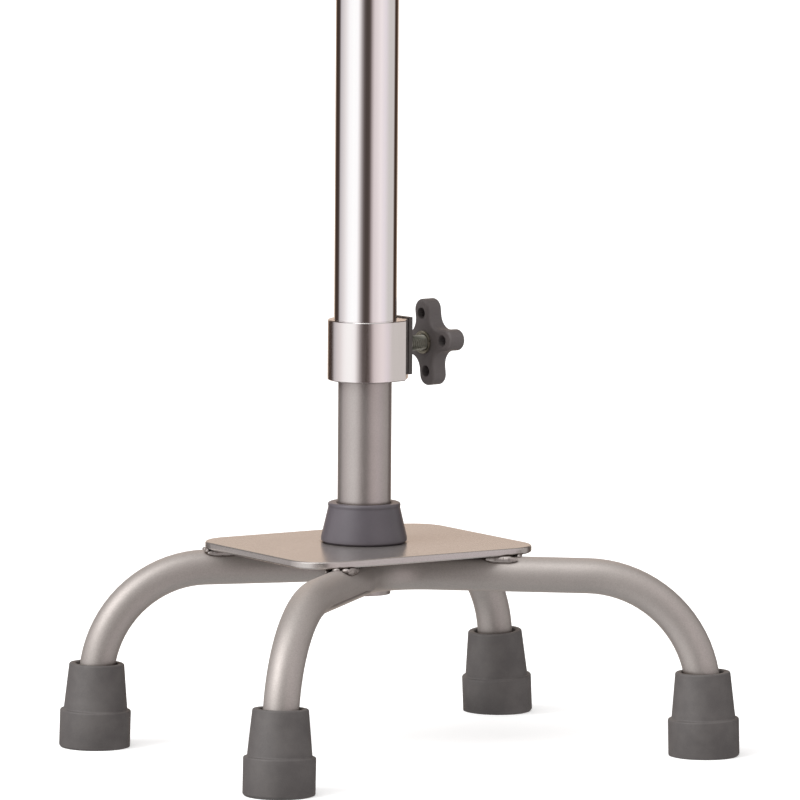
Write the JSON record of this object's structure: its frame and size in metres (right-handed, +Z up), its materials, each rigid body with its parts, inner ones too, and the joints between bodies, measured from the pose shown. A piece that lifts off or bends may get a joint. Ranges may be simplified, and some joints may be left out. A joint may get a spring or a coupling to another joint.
{
  "type": "quad walking cane",
  "caption": "Height-adjustable walking cane: offset-neck tube with a grip, clamped by a collar and star knob onto the post of a wide base on rubber-tipped bent legs.",
  "frame": {"origin": "on the floor at the middle of the footprint of the rubber feet", "axes": "+Z up along the post; +X the walking direction, along the long side of the base and the grip; -Y the wide side of the base, away from the walker"},
  "size_m": [0.2314, 0.1738, 0.7786],
  "materials": {
    "chrome_tube": "mirror-bright chrome plating on steel tube",
    "satin_nickel": "satin nickel plating with a fine vertical grain",
    "painted_tube": "silver-grey metallic powder coat with a fine sparkle",
    "painted_plate": "silver-grey satin metallic paint",
    "weld_metal": "rough weld bead, painted over",
    "ferrule_rubber": "matt grey moulded rubber",
    "bush_plastic": "satin blue-grey moulded plastic",
    "knob_plastic": "matt dark grey moulded nylon",
    "cap_plastic": "satin dark grey moulded plastic",
    "zinc_steel": "zinc-plated steel",
    "inner_nylon": "natural nylon",
    "plug_plastic": "matt black moulded plastic",
    "grip_plastic": "grained grey moulded vinyl"
  },
  "bodies": {
    "base": {"base_plate": "painted_plate", "outer_leg_tube": "painted_tube", "inner_leg_tube": "painted_tube", "plate_welds": "weld_metal", "lower_post": "painted_tube", "post_end_plug": "plug_plastic", "post_bush": "bush_plastic", "post_top_glide": "inner_nylon", "rubber_foot_outer_rear": "ferrule_rubber", "rubber_foot_outer_front": "ferrule_rubber", "rubber_foot_inner_rear": "ferrule_rubber", "rubber_foot_inner_front": "ferrule_rubber", "foot_washer_outer_rear": "zinc_steel", "foot_washer_outer_front": "zinc_steel", "foot_washer_inner_rear": "zinc_steel", "foot_washer_inner_front": "zinc_steel"},
    "liner": {"liner_sleeve": "inner_nylon"},
    "upper_shaft": {"upper_tube": "chrome_tube", "clamp_collar": "satin_nickel", "nose_cap": "cap_plastic", "clamp_nut": "zinc_steel", "grip": "grip_plastic", "grip_end_plug": "plug_plastic"},
    "pad": {"pressure_pad": "inner_nylon"},
    "knob": {"clamp_screw": "zinc_steel", "star_knob": "knob_plastic", "knob_insert": "zinc_steel"}
  },
  "joints": [
    {"name": "height_adjust", "type": "slide", "parent": "base", "child": "liner", "axis": [0, 0, 1], "range_m": [-0.049, 0.18]},
    {"name": "shaft_swivel", "type": "hinge", "parent": "liner", "child": "upper_shaft", "pos_m": [0, 0.02425, 0.1617], "axis": [0, 0, 1], "continuous": true},
    {"name": "clamp_travel", "type": "slide", "parent": "upper_shaft", "child": "pad", "axis": [0.9931, 0.1175, 0], "range_m": [0, 0.003]},
    {"name": "knob_turn", "type": "hinge", "parent": "pad", "child": "knob", "pos_m": [0, 0.02425, 0.1617], "axis": [0.9931, 0.1175, 0], "range_deg": [0, 1081]}
  ],
  "couplings": [
    {"joint": "knob_turn", "follows": "clamp_travel", "rad_per_m": 6283.2}
  ]
}
